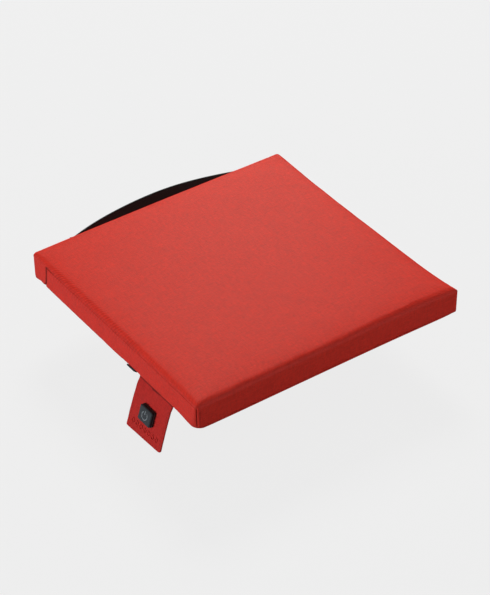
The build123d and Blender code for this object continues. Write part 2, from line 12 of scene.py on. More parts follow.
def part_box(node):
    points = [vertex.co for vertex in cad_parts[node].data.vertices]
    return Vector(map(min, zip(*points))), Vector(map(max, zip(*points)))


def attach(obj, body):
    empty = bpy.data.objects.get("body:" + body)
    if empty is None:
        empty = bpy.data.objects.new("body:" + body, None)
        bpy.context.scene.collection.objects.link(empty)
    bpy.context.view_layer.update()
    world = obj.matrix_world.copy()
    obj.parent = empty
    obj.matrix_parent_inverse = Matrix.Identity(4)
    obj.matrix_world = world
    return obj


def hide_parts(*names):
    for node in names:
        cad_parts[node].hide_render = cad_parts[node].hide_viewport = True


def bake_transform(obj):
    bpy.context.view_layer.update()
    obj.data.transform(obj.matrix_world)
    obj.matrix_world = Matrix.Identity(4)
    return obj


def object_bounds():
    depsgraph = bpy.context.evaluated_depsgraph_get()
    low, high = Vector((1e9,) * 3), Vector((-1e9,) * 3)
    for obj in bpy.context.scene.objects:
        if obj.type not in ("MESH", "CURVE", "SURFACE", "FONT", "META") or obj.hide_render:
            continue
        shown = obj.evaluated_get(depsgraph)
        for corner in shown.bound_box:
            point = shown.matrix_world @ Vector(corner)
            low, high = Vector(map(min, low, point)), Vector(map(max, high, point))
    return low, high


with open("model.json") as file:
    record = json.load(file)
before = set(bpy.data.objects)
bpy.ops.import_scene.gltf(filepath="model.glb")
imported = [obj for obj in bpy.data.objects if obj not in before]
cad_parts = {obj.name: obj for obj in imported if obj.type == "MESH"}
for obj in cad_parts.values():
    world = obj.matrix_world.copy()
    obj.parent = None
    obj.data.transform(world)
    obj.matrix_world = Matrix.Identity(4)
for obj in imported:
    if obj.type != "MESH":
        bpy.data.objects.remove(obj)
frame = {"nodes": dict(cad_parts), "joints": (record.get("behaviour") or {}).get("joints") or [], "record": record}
cad_low, cad_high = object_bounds()

# ---- Sizes taken from the frame, in metres ----
_, cover_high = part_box("cover_top")
HALF_X = cover_high.x
HALF_Y = cover_high.y
TOP = cover_high.z
joints = {joint["name"]: joint for joint in frame["joints"]}
BUTTON_IN = Vector(joints["button_press"]["axis"])
TAB_PIVOT = Vector(joints["tab_fold"]["pos_m"])
zip_low, zip_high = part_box("zip_teeth_upper")

# ---- Cushion shape ----
TOP_ROLL = 0.009
FAR_PUFF = 0.0014           # the roll beside the handle is fuller than the others
BOTTOM_ROLL = 0.0034
CORNER_ZONE = 0.0185        # stretch of each side that turns into the rounded corner
EAR_SPREAD = 9.0            # how quickly a corner's ear fades along the sides
CROWN = 0.0008              # the top's rise before it is inflated
SWELL_CAP = 0.0026          # furthest the simulated cloth may move
SWELL_SOFT = 0.0080         # the cap comes on gradually over this much movement
CLOTH = 0.0010
WALL_OUT = 0.0004           # the stuffed cover stands this far outside its pattern
HANDLE_SIDE_FILL = 0.0020   # the handle's side bulges this much more at its middle
# (side of X, side of Y): how far the corner sticks out, its radius at the top and at the seat,
# how much its top is pinched to a point, and how far it lifts off the seat
EARS = {
    (-1, 1): (-0.0014, 0.0018, 0.0034, 0.0012, 0.0),
    (-1, -1): (0.0012, 0.0050, 0.0140, 0.0, 0.0026),
    (1, 1): (0.0012, 0.0030, 0.0060, 0.0, 0.0),
    (1, -1): (0.0053, 0.0018, 0.0016, 0.0026, 0.0042),
}
PINCH_SPREAD = 18.0         # how quickly a corner's pinch and lift fade along the sides

# ---- Seams ----
PANEL_TOP = 0.0395          # top seam of the zipped side panel
PANEL_BACK = 0.163          # its seam near the handle
BASE_SEAM = 0.0042          # seam between walls and bottom
CORNER_SEAM_STEP = 0.0060   # second seam beside the front corner
LIP = 0.007                 # the zip's opening in the edge, see the frame
SEAM_SHADE = 700.0          # painted shade: darkening of the cloth per metre of seam depth, standing in for the shadow in the seam grooves
SEAM_LEAN = 0.0045          # the seam near the handle leans this far over at the seat
PUCKER_PITCH = 0.0050       # small puckers across the roll above the zip
ZIP_RAMP = 0.006            # the opening's lips close over this length beside the tab
ZIP_FAR_RAMP = 0.050        # and over this length at the other end
TAB_EDGE = 0.27             # how far the edge is folded in where the tab is sewn to it, against the zip's 1
LIP_BULGE = 0.0014          # the wall stands out this far just above the opening
LIP_DEPTH = 0.0034          # the cloth behind the opening lies this deep

SEED = 7


# ---- Small helpers ----
def smooth(low, high, value):
    """0 below low, 1 above high, and an even curve between."""
    t = np.clip((value - low) / (high - low), 0.0, 1.0)
    return t * t * (3 - 2 * t)


def bell(value, width):
    """1 at zero, falling away over a width."""
    return np.exp(-(value / width) ** 2)


def make_object(name, points, faces, smooth_shade=True):
    """A mesh object in the row frame from points and faces."""
    mesh = bpy.data.meshes.new(name)
    mesh.from_pydata([tuple(point) for point in points], [], [tuple(face) for face in faces])
    mesh.validate()
    mesh.update()
    if smooth_shade:
        mesh.polygons.foreach_set("use_smooth", [True] * len(mesh.polygons))
    obj = bpy.data.objects.new(name, mesh)
    bpy.context.scene.collection.objects.link(obj)
    return obj


def solid(name, points, faces, material, uv=None):
    """A closed mesh object whose faces look outwards, with its place on the weave if it has one."""
    obj = make_object(name, points, faces)
    if uv:
        set_uv(obj, "Weave", uv)
    work = bmesh.new()
    work.from_mesh(obj.data)
    bmesh.ops.recalc_face_normals(work, faces=work.faces)
    work.to_mesh(obj.data)
    work.free()
    obj.data.materials.append(material)
    return obj


def slab(name, columns, rows, depths, point, place, material, wrap=False):
    """A closed sheet between a grid's points at two depths; wrap joins the last column to the first."""
    across = columns if wrap else columns + 1
    points, uv, number = [], [], {}
    for layer, depth in enumerate(depths):
        for j in range(rows + 1):
            for i in range(across):
                number[layer, i, j] = len(points)
                points.append(point(i, j, depth))
                uv.append(place(i, j))
    faces = []
    for j in range(rows):
        for i in range(columns):
            after = (i + 1) % across
            for layer in (0, 1):
                faces.append([number[layer, i, j], number[layer, i, j + 1],
                              number[layer, after, j + 1], number[layer, after, j]])
    rims = [[(i, 0) for i in range(across)], [(i, rows) for i in range(across)]]
    if not wrap:
        rims += [[(0, j) for j in range(rows + 1)], [(columns, j) for j in range(rows + 1)]]
    for rim in rims:
        ends = rim + rim[:1] if wrap else rim
        for (i, j), (i2, j2) in zip(ends, ends[1:]):
            faces.append([number[0, i, j], number[0, i2, j2], number[1, i2, j2], number[1, i, j]])
    return solid(name, points, faces, material, uv)


def round_ring(heart, side, normal, radius, sides):
    """Points of a circle round a place, in the plane of two directions."""
    angles = [2 * math.pi * k / sides for k in range(sides)]
    return [heart + side * radius * math.cos(angle) + normal * radius * math.sin(angle) for angle in angles]


def tube_faces(base, rings, sides):
    """Faces of a closed tube made of equal rings of points, numbered from base."""
    faces = []
    last = base + (rings - 1) * sides
    for start in range(base, last, sides):
        for k in range(sides):
            after = (k + 1) % sides
            faces.append([start + k, start + after, start + sides + after, start + sides + k])
    return faces + [list(range(base, base + sides))[::-1], list(range(last, last + sides))]


def tubes(name, paths, radius, normal, material, sides=8):
    """Round bars along paths, with narrowed ends."""
    points, faces = [], []
    for path in paths:
        faces += tube_faces(len(points), len(path), sides)
        for index, heart in enumerate(path):
            before, after = path[max(0, index - 1)], path[min(len(path) - 1, index + 1)]
            side = (after - before).normalized().cross(normal).normalized()
            thick = radius * (0.45 if index in (0, len(path) - 1) else 1.0)
            points += round_ring(heart, side, normal, thick, sides)
    return solid(name, points, faces, material)


def settle(obj, body, node=None):
    """Puts a piece on its body, in place of the CAD node it shows."""
    if body:
        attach(obj, body)
    if node:
        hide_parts(node)


def set_uv(obj, name, per_vertex):
    """A UV map whose values are given per vertex."""
    layer = obj.data.uv_layers.new(name=name)
    for loop in obj.data.loops:
        layer.data[loop.index].uv = per_vertex[loop.vertex_index]


# ---- Materials ----
class Shader:
    """A node material round one Principled shader."""

    def __init__(self, name):
        self.material = bpy.data.materials.new(name)
        self.material.use_nodes = True
        self.tree = self.material.node_tree
        self.tree.nodes.clear()
        self.output = self.add("OutputMaterial")
        self.surface = self.add("BsdfPrincipled")
        self.link(self.surface.outputs[0], self.output.inputs["Surface"])

    def add(self, kind, **settings):
        made = self.tree.nodes.new("ShaderNode" + kind)
        for key, value in settings.items():
            setattr(made, key, value)
        return made

    def link(self, source, target):
        self.tree.links.new(source, target)

    def feed(self, target, value):
        """Puts a socket, a plain value or a colour into an input."""
        if isinstance(value, bpy.types.NodeSocket):
            self.link(value, target)
        elif target.type == "RGBA":
            target.default_value = (*value, 1)
        else:
            target.default_value = value

    def fill(self, made, **values):
        """A node's inputs by name, with _ for a space."""
        for key, value in values.items():
            self.feed(made.inputs[key.replace("_", " ")], value)
        return made

    def set(self, **values):
        self.fill(self.surface, **values)

    def run(self, kind, *values, **settings):
        """Adds a node, feeds its inputs in order and returns its first output."""
        made = self.add(kind, **settings)
        for socket, value in zip(made.inputs, values):
            self.feed(socket, value)
        return made.outputs[0]

    def math(self, operation, first, second=0.0, third=0.0):
        return self.run("Math", first, second, third, operation=operation)

    def times(self, first, second):
        return self.math("MULTIPLY", first, second)

    def plus(self, first, *others):
        return self.math("ADD", first, self.plus(*others)) if others else first

    def ridges(self, value, pitch):
        """Round ridges, one to a pitch."""
        return self.math("ABSOLUTE", self.math("SINE", self.times(value, math.pi / pitch)))

    def span(self, value, low, high, out_low, out_high):
        """Maps a value from one range to another."""
        return self.run("MapRange", value, low, high, out_low, out_high)

    def uv(self, name):
        return self.add("UVMap", uv_map=name).outputs[0]

    def split(self, vector):
        """The x and y of a vector."""
        made = self.add("SeparateXYZ")
        self.link(vector, made.inputs[0])
        return made.outputs[0], made.outputs[1]

    def place(self):
        return self.add("TexCoord").outputs["Object"]

    def stretch(self, vector, x, y):
        return self.fill(self.add("Mapping"), Vector=vector, Scale=(x, y, 1)).outputs[0]

    def noise(self, vector, scale, detail=2.0, rough=0.5):
        made = self.add("TexNoise")
        return self.fill(made, Vector=vector, Scale=scale, Detail=detail, Roughness=rough).outputs["Fac"]

    def mix(self, share, first, second):
        made = self.add("Mix", data_type="RGBA")
        for socket, value in zip((made.inputs[0], made.inputs[6], made.inputs[7]), (share, first, second)):
            self.feed(socket, value)
        return made.outputs[2]

    def bump(self, height, depth, strength):
        return self.fill(self.add("Bump"), Strength=strength, Distance=depth, Height=height).outputs[0]


def tone(colour, factor, lift=0.0):
    """A colour made darker or lighter."""
    return tuple(min(1.0, channel * factor + lift) for channel in colour)


def woven(name, light, dark, pitch, relief, rough=0.56, gloss=0.2, seamed=False):
    """A plain weave: threads over and under in a checker, with uneven yarn and a soft sheen; the threads' relief
    is painted as shade where they dip under, and seamed cloth gets painted shade in its seam grooves and pucker
    troughs.
    """
    made = Shader(name)
    plane = made.uv("Weave")
    u, v = made.split(plane)
    along, across = made.math("DIVIDE", u, pitch), made.math("DIVIDE", v, pitch)
    warp_round, weft_round = made.ridges(along, 1), made.ridges(across, 1)
    checker = made.add("TexChecker")
    made.fill(checker, Vector=made.run("CombineXYZ", along, across), Scale=1.0)
    over = checker.outputs["Fac"]
    under = made.math("SUBTRACT", 1.0, over)
    warp = made.math("MULTIPLY_ADD", warp_round, 0.65, made.times(weft_round, 0.35))
    weft = made.math("MULTIPLY_ADD", weft_round, 0.65, made.times(warp_round, 0.35))
    height = made.plus(made.times(over, warp), made.times(under, weft))
    yarns = [made.noise(made.stretch(plane, *scale), 1.0, 3.0, 0.6) for scale in ((620, 60), (60, 620))]
    cloud = made.noise(plane, 30.0, 4.0, 0.7)
    mottle = made.noise(plane, 230.0, 3.0, 0.75)
    yarn = made.times(made.plus(*yarns), 0.5)
    # The threads' relief also darkens the colour where they dip under: painted shade; yarn, cloud and mottle add
    # random tone.
    shades = made.plus(made.span(height, 0.0, 1.0, -0.45, 0.30), made.span(yarn, 0.38, 0.62, -0.25, 0.25),
                       made.span(cloud, 0.3, 0.7, -0.07, 0.07), made.span(mottle, 0.35, 0.65, -0.16, 0.16))
    colour = made.mix(made.span(shades, -0.6, 0.6, 0.0, 1.0), dark, light)
    if seamed:
        seam, puckered = made.split(made.uv("Seam"))
        # Painted shade: the cloth darkens along the seam grooves.
        colour = made.mix(made.span(seam, 0.12, 0.9, 0.0, 0.85), colour, tone(dark, 0.22))
        slant = made.math("MULTIPLY_ADD", u, 0.45, v)
        waves = made.math("SINE", made.times(slant, 2 * math.pi / PUCKER_PITCH))
        uneven = made.span(made.noise(plane, 55.0, 2.0), 0.35, 0.65, 0.45, 1.0)
        pucker = made.times(waves, made.times(puckered, uneven))
        # Painted shade: the troughs of the puckers are darkened.
        pucker_trough_shade = made.math("MAXIMUM", made.times(pucker, -0.85), 0.0)
        colour = made.mix(pucker_trough_shade, colour, dark)
        height = made.math("MULTIPLY_ADD", pucker, 1.6, height)
    made.set(Base_Color=colour, Roughness=made.span(yarn, 0.35, 0.65, rough - 0.06, rough + 0.06),
             Specular_IOR_Level=gloss,
             Normal=made.bump(made.plus(height, made.times(yarn, 0.5)), relief, 0.8))
    return made.material


def ribbed_webbing(name):
    """Black webbing with cross ribs and a fine herringbone along its length, painted darker in the hollows between
    the ribs.
    """
    rib, twill_run, twill_pitch = 0.0014, 0.0021, 0.0011
    made = Shader(name)
    plane = made.uv("Weave")
    u, v = made.split(plane)
    ribs = made.ridges(u, rib)
    twill = made.ridges(made.plus(u, made.math("PINGPONG", v, twill_run)), twill_pitch)
    fuzz = made.noise(made.stretch(plane, 1400, 500), 1.0, 3.0, 0.6)
    # Painted shade: the hollows between the ribs get the darker colour and the raised ribs the lighter.
    height = made.plus(made.times(ribs, 0.5), made.times(twill, 0.5), made.times(fuzz, 0.3))
    made.set(Base_Color=made.mix(made.span(height, 0.2, 1.2, 0, 1), WEBBING_DARK, WEBBING_LIGHT),
             Roughness=made.span(fuzz, 0.3, 0.7, 0.6, 0.85), Normal=made.bump(height, 0.00022, 0.9),
             Sheen_Weight=0.25, Sheen_Roughness=0.5, Sheen_Tint=WEBBING_SHEEN)
    return made.material


def moulded(name, colour, rough=0.5, grain=0.00004, scale=2600.0, wear=0.25, metallic=0.0, gloss=0.5):
    """Moulded or cast stuff: fine grain, faint mottling and lighter rubbed edges."""
    made = Shader(name)
    place = made.place()
    fine = made.noise(place, scale, 3.0, 0.6)
    broad = made.noise(place, 90.0, 2.0)
    edge = made.span(made.add("NewGeometry").outputs["Pointiness"], 0.5, 0.56, 0.0, wear)
    mottled = made.mix(made.span(broad, 0.35, 0.65, 0, 1), tone(colour, 0.8), tone(colour, 1.15, 0.004))
    made.set(Base_Color=made.mix(edge, mottled, tone(colour, 1.6, 0.02)), Metallic=metallic,
             Specular_IOR_Level=gloss, Roughness=made.span(fine, 0.3, 0.7, rough - 0.1, rough + 0.1),
             Normal=made.bump(fine, grain, 0.6))
    return made.material


def porous(name, colour, cell=0.0011, relief=0.0004):
    """Open-cell foam or felt: a fine irregular surface, its pits painted darker as shade."""
    made = Shader(name)
    place = made.place()
    cells = made.fill(made.add("TexVoronoi"), Vector=place, Scale=1.0 / cell)
    fluff = made.noise(place, 420.0, 4.0, 0.65)
    pit = made.plus(cells.outputs["Distance"], made.times(fluff, 0.6))
    # Painted shade: the pits get the darker colour.
    made.set(Base_Color=made.mix(made.span(pit, 0.2, 1.0, 0, 1), tone(colour, 0.55), colour),
             Roughness=0.95, Sheen_Weight=0.15, Normal=made.bump(pit, relief, 0.8))
    return made.material


# Black webbing, its red kept low (also in the sheen's tint) to offset the red light bounced onto it from the
# cushion's wall.
WEBBING_DARK = (0.0012, 0.0036, 0.0040)
WEBBING_LIGHT = (0.0055, 0.0140, 0.0155)
WEBBING_SHEEN = (0.55, 1.0, 1.0)
# name: light yarn, dark yarn, pitch of the threads, relief
canvas = woven("canvas", (0.79, 0.036, 0.020), (0.43, 0.015, 0.008), 0.00105, 0.00022, seamed=True)
tab_canvas = woven("tab_canvas", (0.59, 0.026, 0.020), (0.32, 0.009, 0.007), 0.00085, 0.00014,
                   rough=0.68, gloss=0.14, seamed=True)
webbing = ribbed_webbing("webbing")
thread = woven("thread", (0.42, 0.02, 0.014), (0.20, 0.006, 0.005), 0.0004, 0.00008)
black_thread = moulded("black_thread", (0.012, 0.012, 0.013), 0.6, 0.00008, 3000)
tape_cloth = woven("zip_tape_cloth", (0.030, 0.016, 0.016), (0.008, 0.005, 0.005), 0.0006, 0.0001)


# ---- Cushion surface ----
def grid_lines(half, zone_step, spacing, extra=()):
    """Line places from -half to half: even in the middle, closer in the corner zones and at extra places."""
    inner = half - CORNER_ZONE
    count = max(2, int(round(2 * inner / spacing)))
    places = list(np.linspace(-inner, inner, count + 1))
    steps = int(round(CORNER_ZONE / zone_step))
    for index in range(1, steps + 1):
        reach = inner + CORNER_ZONE * index / steps
        places += [-reach, reach]
    for centre, width in extra:
        places = [place for place in places if abs(place - centre) > width * 1.6]
        places += [centre + width * offset for offset in (-1.2, -0.6, 0.0, 0.6, 1.2)]
    return np.array(sorted(places))


def profile_levels(fine):
    """(inset from the wall, height) from the top grid's rim down the wall to the bottom grid's rim."""
    top_steps, wall_rows, low_steps = (9, 16, 8) if fine else (4, 5, 3)
    wall_top, wall_bottom = TOP - TOP_ROLL, BOTTOM_ROLL + 0.0022
    levels = []
    for index in range(top_steps + 1):
        angle = math.pi / 2 * index / top_steps
        levels.append((TOP_ROLL * (1 - math.sin(angle)), TOP - TOP_ROLL * (1 - math.cos(angle))))
    for index in range(1, wall_rows + 1):
        levels.append((0.0, wall_top + (wall_bottom - wall_top) * index / wall_rows))
    if fine:
        levels.append((0.0, BOTTOM_ROLL + 0.0008))
    for index in range(low_steps + 1):
        angle = math.pi / 2 * index / low_steps
        levels.append((BOTTOM_ROLL * (1 - math.cos(angle)), BOTTOM_ROLL * (1 - math.sin(angle))))
    return levels


def round_corner(x, y, half_x, half_y, radius):
    """Moves a point of a sharp rectangle's outline onto the same outline with rounded corners."""
    gap_x, gap_y = half_x - abs(x), half_y - abs(y)
    from_corner = max(gap_x, gap_y)
    if from_corner >= CORNER_ZONE:
        return x, y
    straight = CORNER_ZONE - radius
    length = straight + radius * math.pi / 4
    travelled = (1 - from_corner / CORNER_ZONE) * length
    if travelled <= straight:
        along, inward = CORNER_ZONE - travelled, 0.0
    else:
        angle = (travelled - straight) / radius
        along = radius * (1 - math.sin(angle))
        inward = radius * (1 - math.cos(angle))
    if gap_x >= gap_y:
        new = (half_x - along, half_y - inward)
    else:
        new = (half_x - inward, half_y - along)
    return math.copysign(new[0], x), math.copysign(new[1], y)


def corner_radius(height, inset, corner):
    """Plan radius of a corner at a height, smaller on the rings inside the rolls."""
    _, top_radius, seat_radius, _, _ = EARS[corner]
    low = float(1 - smooth(0.0, TOP, height))
    radius = top_radius + (seat_radius - top_radius) * low
    return max(0.0008, radius * math.exp(-inset / 0.011))


def side_fill(x):
    """Bulge of the handle's side at a place along it."""
    return HANDLE_SIDE_FILL * (1 - (x / HALF_X) ** 2)


def ears(x, y):
    """Pushes the corners out, fading along the sides and into the middle."""
    push_x, push_y = math.copysign(WALL_OUT, x), math.copysign(WALL_OUT, y)
    push_x *= float(smooth(0.90, 1.0, abs(x) / HALF_X))
    push_y *= float(smooth(0.90, 1.0, abs(y) / HALF_Y))
    if y > 0:
        push_y += side_fill(x) * float(smooth(0.90, 1.0, y / HALF_Y))
    for (side_x, side_y), (out, _, _, _, _) in EARS.items():
        share = corner_share(x * side_x, y * side_y, EAR_SPREAD)
        push_x += side_x * out * share
        push_y += side_y * out * share
    return x + push_x, y + push_y


def corner_share(x, y, spread):
    """1 at the corner on the positive side of both axes, fading with distance from it."""
    near_x = max(0.0, min(1.0, (1 + x / HALF_X) / 2))
    near_y = max(0.0, min(1.0, (1 + y / HALF_Y) / 2))
    return (near_x * near_y) ** spread


def roll_angle(inset):
    """How far round the top roll a ring lies: 90 degrees at its inner rim, 0 at the wall."""
    return math.asin(max(-1.0, min(1.0, 1 - inset / TOP_ROLL)))


def pinch(x, y, inset, height):
    """Draws the top roll out to a point at the pinched corners and lifts corners off the seat."""
    out_x = out_y = up = 0.0
    on_roll = height >= TOP - TOP_ROLL
    angle = roll_angle(inset) if on_roll else math.pi / 2
    down_wall = 1.0 if on_roll else height / (TOP - TOP_ROLL)
    for (side_x, side_y), (_, _, _, sharp, lift) in EARS.items():
        share = corner_share(x * side_x, y * side_y, PINCH_SPREAD)
        outward_part = sharp * share * (1 - math.sin(angle))
        out_x += side_x * outward_part
        out_y += side_y * outward_part
        up += sharp * share * (1 - math.cos(angle)) * down_wall ** 3
        up += lift * share * (1 - height / TOP)
    return out_x, out_y, up


def far_puff(x, y, inset, height):
    """Extra fullness of the top roll towards the handle, as a move in x, y and z."""
    if height < TOP - TOP_ROLL or inset <= 0:
        return 0.0, 0.0, 0.0
    angle = roll_angle(inset)
    puff = FAR_PUFF * float(smooth(0.5, 0.97, y / HALF_Y)) * math.sin(2 * angle)
    across = puff * math.sin(angle)
    if abs(x) / HALF_X > abs(y) / HALF_Y:
        return math.copysign(across, x), 0.0, puff * math.cos(angle)
    return 0.0, math.copysign(across, y), puff * math.cos(angle)


def zip_share(y):
    """1 where the zip's opening runs along the edge, little beside the tab, 0 at the corners."""
    start, end = zip_low.y - 0.003, zip_high.y + 0.0075
    along = float(smooth(start - ZIP_RAMP, start, y) * (1 - smooth(end, end + ZIP_FAR_RAMP, y)))
    by_tab = TAB_EDGE * float(smooth(-0.192, -0.150, y)) if y < start else 0.0
    return max(along, by_tab)


class Cushion:
    """The closed skin of the cushion as a top grid, wall rings and a bottom grid."""

    def __init__(self, fine):
        seams_y = [(PANEL_BACK, 0.0011)] if fine else []
        spacing, zone_step = (0.0034, 0.0011) if fine else (0.0075, 0.0031)
        self.lines_x = grid_lines(HALF_X, zone_step, spacing) / HALF_X
        self.lines_y = grid_lines(HALF_Y, zone_step, spacing, seams_y) / HALF_Y
        self.levels = profile_levels(fine)
        self.points, self.faces, self.flat, self.part = [], [], [], []
        self.build()

    def ring(self):
        """Outline indices of the grid, in order round the cushion."""
        last_x, last_y = len(self.lines_x) - 1, len(self.lines_y) - 1
        order = [(i, 0) for i in range(last_x)]
        order += [(last_x, j) for j in range(last_y)]
        order += [(i, last_y) for i in range(last_x, 0, -1)]
        order += [(0, j) for j in range(last_y, 0, -1)]
        return order

    def place(self, i, j, inset, height):
        """A point of the skin on the ring with this inset, and its place on the unrolled cloth."""
        half_x, half_y = HALF_X - inset, HALF_Y - inset
        sharp_x, sharp_y = self.lines_x[i] * half_x, self.lines_y[j] * half_y
        on_ring = inset
        if 0 < i < len(self.lines_x) - 1 and 0 < j < len(self.lines_y) - 1:
            on_ring = min(HALF_X - abs(sharp_x), HALF_Y - abs(sharp_y))
        ring_x, ring_y = HALF_X - on_ring, HALF_Y - on_ring
        corner = (1 if sharp_x > 0 else -1, 1 if sharp_y > 0 else -1)
        radius = corner_radius(height, on_ring, corner)
        x, y = round_corner(sharp_x, sharp_y, ring_x, ring_y, radius)
        puff_x, puff_y, puff_z = far_puff(x, y, inset, height)
        pinch_x, pinch_y, pinch_z = pinch(x, y, inset, height)
        x, y = ears(x, y)
        return x + puff_x + pinch_x, y + puff_y + pinch_y, height + puff_z + pinch_z

    def add_grid(self, inset, height, down):
        columns, rows = len(self.lines_x), len(self.lines_y)
        index = np.zeros((columns, rows), int)
        for i in range(columns):
            for j in range(rows):
                index[i, j] = len(self.points)
                x, y, z = self.place(i, j, inset, height)
                if not down:
                    rise = (1 - (x / HALF_X) ** 2) * (1 - (y / HALF_Y) ** 2)
                    z += CROWN * rise
                self.points.append((x, y, z))
                self.flat.append((self.lines_x[i] * (HALF_X - inset), self.lines_y[j] * (HALF_Y - inset)))
        for i in range(columns - 1):
            for j in range(rows - 1):
                quad = [index[i, j], index[i + 1, j], index[i + 1, j + 1], index[i, j + 1]]
                self.faces.append(quad[::-1] if down else quad)
                self.part.append("bottom" if down else "top")
        return index

    def build(self):
        order = self.ring()
        top = self.add_grid(TOP_ROLL, TOP, False)
        previous = [top[i, j] for i, j in order]
        dropped = 0.0
        for level in range(1, len(self.levels) - 1):
            inset, height = self.levels[level]
            before = self.levels[level - 1]
            dropped += math.hypot(inset - before[0], height - before[1])
            current = []
            for i, j in order:
                current.append(len(self.points))
                self.points.append(self.place(i, j, inset, height))
                self.flat.append((self.lines_x[i] * (HALF_X - TOP_ROLL), self.lines_y[j] * (HALF_Y - TOP_ROLL),
                                  dropped))
            self.join(previous, current, level)
            previous = current
        bottom = self.add_grid(BOTTOM_ROLL, 0.0, True)
        self.join(previous, [bottom[i, j] for i, j in order], len(self.levels) - 1)

    def join(self, upper, lower, level):
        """One band of quads between two rings."""
        count = len(upper)
        heights = (self.levels[level - 1][1] + self.levels[level][1]) / 2
        for k in range(count):
            after = (k + 1) % count
            self.faces.append([upper[k], lower[k], lower[after], upper[after]])
            self.part.append(self.band_part(upper[k], upper[after], heights))

    def band_part(self, first, second, height):
        """Which cloth panel a wall quad belongs to."""
        if height < BASE_SEAM:
            return "bottom"
        a, b = self.points[first], self.points[second]
        x, y = (a[0] + b[0]) / 2, (a[1] + b[1]) / 2
        on_side = x < -HALF_X + CORNER_ZONE and y + HALF_Y > x + HALF_X
        if on_side and y < PANEL_BACK and height < PANEL_TOP:
            return "side"
        return "top"


SWELL_FRAMES = 20
CLOTH_SETTINGS = {
    "quality": 6, "mass": 0.25, "tension_stiffness": 18, "compression_stiffness": 18, "shear_stiffness": 8,
    "bending_stiffness": 0.6, "use_pressure": True, "uniform_pressure_force": 4.0, "shrink_min": -0.004,
    "vertex_group_mass": "held", "pin_stiffness": 1.0,
}


def swell(coarse):
    """Inflates the coarse skin as cloth and returns how far each of its points moved, capped."""
    rest = np.array(coarse.points)
    pad = make_object("swelling_pad", coarse.points, coarse.faces)
    group = pad.vertex_groups.new(name="held")
    for index, (x, y, z) in enumerate(coarse.points):
        held = float(1 - smooth(0.0, 0.006, z))
        edge = max(abs(x) / HALF_X, abs(y) / HALF_Y)
        held = max(held, 0.35 * float(smooth(0.955, 0.985, edge)))
        if held > 0:
            group.add([index], held, "REPLACE")
    cloth = pad.modifiers.new("Cloth", "CLOTH")
    for key, value in CLOTH_SETTINGS.items():
        setattr(cloth.settings, key, value)
    cloth.settings.effector_weights.gravity = 0.0
    cloth.collision_settings.use_collision = False
    scene = bpy.context.scene
    scene.frame_start, scene.frame_end = 1, SWELL_FRAMES
    for step in range(1, SWELL_FRAMES + 1):
        scene.frame_set(step)
    depsgraph = bpy.context.evaluated_depsgraph_get()
    swollen = pad.evaluated_get(depsgraph).data
    moved = np.array([vertex.co[:] for vertex in swollen.vertices]) - rest
    scene.frame_set(1)
    bpy.data.objects.remove(pad)
    length = np.linalg.norm(moved, axis=1, keepdims=True)
    return moved * SWELL_CAP * np.tanh(length / SWELL_SOFT) / np.maximum(length, 1e-9)


def spread(coarse, moved, fine_points):
    """The coarse skin's movement at each fine point, read off the nearest face."""
    tree = BVHTree.FromPolygons(coarse.points, coarse.faces)
    out = np.zeros((len(fine_points), 3))
    for index, point in enumerate(fine_points):
        near, _, face, _ = tree.find_nearest(point)
        corners = [Vector(coarse.points[v]) for v in coarse.faces[face]]
        weights = poly_3d_calc(corners, near)
        for weight, vertex in zip(weights, coarse.faces[face]):
            out[index] += weight * moved[vertex]
    return out


def seam_lines(x, y, z):
    """Depth in metres that each stitched seam pulls the skin in, at each point."""
    left = (x < -HALF_X + CORNER_ZONE) & (y > -HALF_Y + 0.004)
    below_top = 1 - smooth(PANEL_TOP - 0.0010, PANEL_TOP + 0.0008, z)
    above_zip = smooth(0.004, 0.008, z)
    depth = np.where(left, 0.0023 * bell(y - PANEL_BACK, 0.0011) * below_top * above_zip, 0.0)
    on_panel = left & (y < PANEL_BACK + 0.0005)
    near_back = 0.35 + 0.65 * smooth(PANEL_BACK - 0.030, PANEL_BACK, y)
    depth += np.where(on_panel, 0.0009 * bell(z - PANEL_TOP, 0.0007) * near_back, 0.0)
    wall = smooth(0.90, 0.97, np.maximum(np.abs(x) / HALF_X, np.abs(y) / HALF_Y))
    depth += 0.0007 * bell(z - BASE_SEAM, 0.0007) * wall
    rise = 1 - smooth(TOP - 0.0075, TOP - 0.0045, z)
    above_seat = smooth(0.003, 0.007, z)
    front = np.hypot(x + HALF_X, y + HALF_Y) < 0.03
    diagonal = (x + HALF_X) - (y + HALF_Y)
    depth += np.where(front, 0.0011 * bell(diagonal + 0.0004, 0.0011) * rise * above_seat, 0.0)
    lower = 1 - smooth(TOP - 0.0130, TOP - 0.0100, z)
    depth += np.where(front, 0.0007 * bell(diagonal - CORNER_SEAM_STEP, 0.0009) * lower * above_seat, 0.0)
    for sx, sy in ((1, -1), (1, 1)):
        near = np.hypot(x - sx * HALF_X, y - sy * HALF_Y) < 0.03
        across = sx * (x - sx * HALF_X) - sy * (y - sy * HALF_Y)
        depth += np.where(near, 0.0009 * bell(across, 0.0009) * rise, 0.0)
    return depth


def pucker_share(points):
    """Where the roll above the zip is puckered: 1 on the roll, fading to the top, the wall and the front."""
    x, y, z = points.T
    on_roll = bell(x + HALF_X - 0.0035, 0.0065) * smooth(TOP - 0.016, TOP - 0.009, z)
    return on_roll * (0.2 + 0.8 * smooth(-0.15, 0.08, y)) * (1 - 0.8 * smooth(0.13, 0.17, y))


def lean_seam(points):
    """Tips the seam near the handle over a little towards the seat."""
    out = points.copy()
    x, y, z = points.T
    near = bell(y - PANEL_BACK, 0.018) * (x < -HALF_X + CORNER_ZONE)
    out[:, 1] += SEAM_LEAN * near * (1 - z / PANEL_TOP).clip(0, 1) * smooth(0.0, 0.004, z)
    return out


